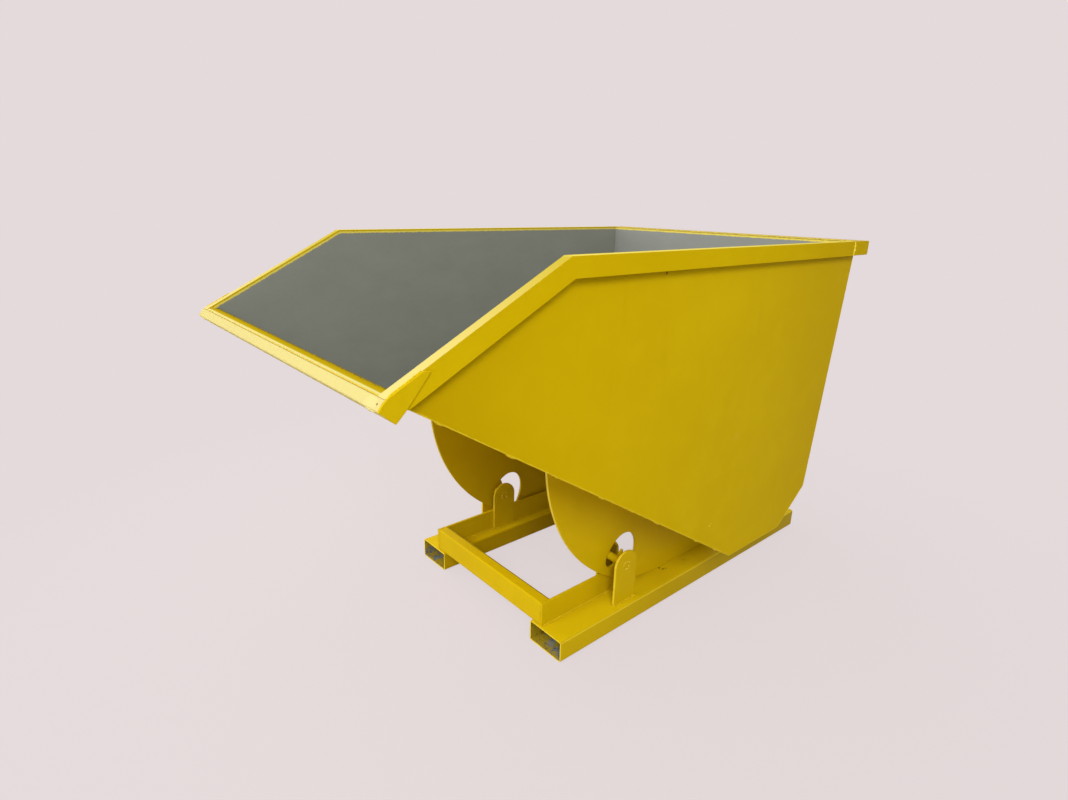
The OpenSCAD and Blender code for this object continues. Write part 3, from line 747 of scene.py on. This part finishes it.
for side in SIDES:
    for name, x, front, rear, seed in RAIL_WELDS:
        weld(name, side, [(x, front, FOOT_Z), (x, rear, FOOT_Z)], 0.0042, "base", seed=seed)
    for place, x in BRACKETS.items():
        y0, y1 = PIN[0] - BRACKET_REACH, PIN[0] + BRACKET_REACH
        foot = (x + PLATE, y0), (x, y0), (x, y1), (x + PLATE, y1)
        weld(f"foot_weld_{place}", side, [(*corner, FOOT_Z) for corner in foot], 0.0044, "base",
             closed=place == "outer", seed=13)
    for place, x in (("inner", BRACKETS["inner"]), ("outer", BRACKETS["outer"] + PLATE)):
        weld(f"pin_weld_{place}", side, pin_ring(x), 0.0024, "base", closed=True,
             seed=15, ripple=0.009, material=PIN_BEAD)
    for name, front, rear, gap, size, seed in BAR_WELDS:
        for end, y in (("front", front), ("rear", rear)):
            weld(f"{name}_{end}", side, [(RAIL_X, y, TUBE_TOP + 0.004), (RAIL_X, y, RAIL_TOP - gap)],
                 size, "base", seed=seed)
    rim_out = RIM_X * 0.9995
    weld("corner_seam", side, [(rim_out, CORNER_Y, LOW_RIM - 0.001), (rim_out, CORNER_Y, RIM_Z - 0.001)],
         0.0046, "bucket", seed=18, ripple=0.014, material=BRIGHT_BEAD)
    for face, x in (("out", ROCKER_X + PLATE), ("in", ROCKER_X)):
        under = (ROCKER_FRONT[0] - FLOOR_NORMAL[0] * BELOW, ROCKER_FRONT[1] - FLOOR_NORMAL[1] * BELOW)
        weld(f"rocker_weld_{face}", side,
             [(x, *under), (x, BEND[0] - 0.001, BEND[1] - BELOW), (x, ROCKER_REAR, BEND[1] - BELOW)],
             0.0042, "bucket", seed=19)
    weld("rear_corner_seam", side,
         [(SEAM_X, *BOTTOM_END), (SEAM_X, *SLANT_END), (SEAM_X, *SEAM_TOP)],
         0.0024, "bucket", seed=26, ripple=0.007, material=BRIGHT_BEAD)
    weld("lip_corner_weld", side, [(LIP_WELD_FROM, *LIP_CORNER), (LIP_WELD_TO, *LIP_CORNER)],
         0.0054, "bucket", seed=20, ripple=0.016, material=LIP_PAINT)
    weld("gusset_weld", side,
         [(RIM_X - 0.0005, LIP[0] + 0.004, LIP[1] + 0.001), (RIM_X - 0.0005, *GUSSET_TOP)],
         0.0026, "bucket", seed=21)
    weld("gusset_end_weld", side,
         [(RIM_X + 0.0015, GUSSET_TOP[0] - 0.006, GUSSET_TOP[1] - 0.004),
          (RIM_X + 0.0015, GUSSET_TOP[0] + 0.006, GUSSET_TOP[1] - 0.003)], 0.0044, "bucket", seed=22)
    for i, (start, length) in enumerate(STITCHES):
        stitch = [(PANEL_OUT - 0.0035, LIP_ROOT[0] + SLOPE.x * k, LIP_ROOT[1] + SLOPE.y * k)
                  for k in (start, start + length)]
        weld(f"floor_stitch_{i + 1}", side, stitch, 0.0034, "bucket", seed=30 + i, ripple=0.007)
    weld("inside_seam", side, [(PANEL_X - 0.0016, *p) for p in INSIDE], 0.0026, "bucket", seed=23,
         ripple=0.009, material=LINING)

for i, corner in enumerate((INSIDE[2], INSIDE[3])):
    bead(f"inside_cross_seam_{i + 1}", [at(-FLOOR_X, *corner), at(FLOOR_X, *corner)], 0.0032, "bucket",
         seed=24 + i, ripple=0.010, material=REAR_LINING)


def prism(name, section, half_width, body, material):
    """A solid strip across the bucket, from its section in the side view."""
    bm = bmesh.new()
    ends = [[bm.verts.new(at(x, *p)) for p in section] for x in (-half_width, half_width)]
    for k in range(len(section)):
        n = (k + 1) % len(section)
        bm.faces.new((ends[0][k], ends[0][n], ends[1][n], ends[1][k]))
    for end in ends:
        bm.faces.new(end)
    return finish_piece(name, bm, body, (material,))


prism("rear_inside_lap", LAP, FLOOR_X + 0.0015, "bucket", REAR_LINING)


# Camera, light and floor

# The camera's place and angles in degrees, and its focal length in the photograph's pixels
EYE = (1.6869, -1.2280, 1.4800)
AZIMUTH, ELEVATION, ROLL = 49.10, 17.55, 1.30
FOCAL, PHOTO_WIDTH, SENSOR = 628.67, 1068, 36.0

# Each lamp's name, place, target, size and power in watts
LAMPS = (
    ("key", (5.28, -3.86, 5.02), (0, 0.3, 0.7), (2.6, 2.4), 340),
    ("front_sky", (-0.5, -6.0, 4.5), (0, 0.2, 0.7), (3.0, 2.0), 215),
    ("far_sky", (-4.9, -0.5, 3.1), (0.1, -0.4, 1.15), (4.6, 3.6), 205),
    ("back_sky", (-1.0, 5.5, 3.6), (0, 0.4, 0.7), (4.0, 2.5), 60),
)
AMBIENT, AMBIENT_STRENGTH = (0.98, 0.99, 1.0, 1.0), 0.52
FLOOR_TONE, FLOOR_RADIUS, FLOOR_DROP = colour(206, 198, 198), 60.0, 0.001
# The floor shows its own shadow near the object, and the backdrop's tone further out
GLOW_NEAR, GLOW_FAR, GLOW_LEAST = 1.2, 2.6, 0.86


def look():
    """The photograph's camera."""
    azimuth, elevation, roll = (math.radians(v) for v in (AZIMUTH, ELEVATION, ROLL))
    back = Vector((math.sin(azimuth) * math.cos(elevation), -math.cos(azimuth) * math.cos(elevation),
                   math.sin(elevation)))
    right = Vector((math.cos(azimuth), math.sin(azimuth), 0))
    up = back.cross(right)
    turned_right = math.cos(roll) * right + math.sin(roll) * up
    turned_up = math.cos(roll) * up - math.sin(roll) * right
    data = bpy.data.cameras.new("camera")
    data.sensor_width = SENSOR
    data.lens = FOCAL / PHOTO_WIDTH * SENSOR
    data.clip_end = 200.0
    camera = bpy.data.objects.new("camera", data)
    bpy.context.scene.collection.objects.link(camera)
    basis = Matrix((turned_right, turned_up, back)).transposed().to_4x4()
    camera.matrix_world = Matrix.Translation(at(*EYE)) @ basis
    bpy.context.scene.camera = camera


def lamp(name, place, target, size, power):
    """A rectangular lamp that faces its target."""
    data = bpy.data.lights.new(name, "AREA")
    data.shape = "RECTANGLE"
    data.size, data.size_y = size
    data.energy = power
    made = bpy.data.objects.new(name, data)
    bpy.context.scene.collection.objects.link(made)
    made.location = place
    made.rotation_euler = (target - place).to_track_quat("-Z", "Y").to_euler()


def plain_rays(tree):
    """1 for the rays that show the background itself: in view, mirrored or through glass."""
    path = tree.nodes.new("ShaderNodeLightPath")
    seen = path.outputs["Is Camera Ray"]
    for ray in ("Is Glossy Ray", "Is Transmission Ray"):
        most = tree.nodes.new("ShaderNodeMath")
        most.operation = "MAXIMUM"
        tree.links.new(seen, most.inputs[0])
        tree.links.new(path.outputs[ray], most.inputs[1])
        seen = most.outputs[0]
    return seen


def light_world():
    """A plain backdrop in view, and a weaker even light on the object."""
    world = bpy.data.worlds.new("studio")
    bpy.context.scene.world = world
    world.use_nodes = True
    tree = world.node_tree
    tree.nodes.clear()
    out = tree.nodes.new("ShaderNodeOutputWorld")
    backdrop = tree.nodes.new("ShaderNodeBackground")
    backdrop.inputs["Color"].default_value = BACKGROUND
    ambient = tree.nodes.new("ShaderNodeBackground")
    ambient.inputs["Color"].default_value = AMBIENT
    ambient.inputs["Strength"].default_value = AMBIENT_STRENGTH
    mix = tree.nodes.new("ShaderNodeMixShader")
    tree.links.new(plain_rays(tree), mix.inputs[0])
    tree.links.new(ambient.outputs[0], mix.inputs[1])
    tree.links.new(backdrop.outputs[0], mix.inputs[2])
    tree.links.new(mix.outputs[0], out.inputs[0])


def lay_floor():
    """A pale floor that fades into the backdrop and keeps the object's shadow."""
    bm = bmesh.new()
    bmesh.ops.create_circle(bm, cap_ends=True, radius=FLOOR_RADIUS, segments=96)
    mesh = bpy.data.meshes.new("studio_floor")
    bm.to_mesh(mesh)
    bm.free()
    floor = bpy.data.objects.new("studio_floor", mesh)
    bpy.context.scene.collection.objects.link(floor)
    floor.location.z = -FLOOR_DROP
    s = Shader("floor")
    s.set(Base_Color=FLOOR_TONE, Roughness=0.9, Specular_IOR_Level=0.1)
    glow = s.node("ShaderNodeEmission")
    glow.inputs["Color"].default_value = BACKGROUND
    reach = s.node("ShaderNodeVectorMath", operation="LENGTH")
    s.link(s.place, reach.inputs[0])
    far = s.ramp(reach.outputs["Value"], GLOW_NEAR, GLOW_FAR, GLOW_LEAST, 1.0)
    mix = s.node("ShaderNodeMixShader")
    s.link(s.product(plain_rays(s.tree), far), mix.inputs[0])
    s.link(s.bsdf.outputs[0], mix.inputs[1])
    s.link(glow.outputs[0], mix.inputs[2])
    s.link(mix.outputs[0], s.out.inputs["Surface"])
    mesh.materials.append(s.material)


look()
light_world()
lay_floor()
for name, place, target, size, power in LAMPS:
    lamp(name, at(*place), at(*target), size, power)

bpy.context.scene.view_settings.view_transform = "Standard"
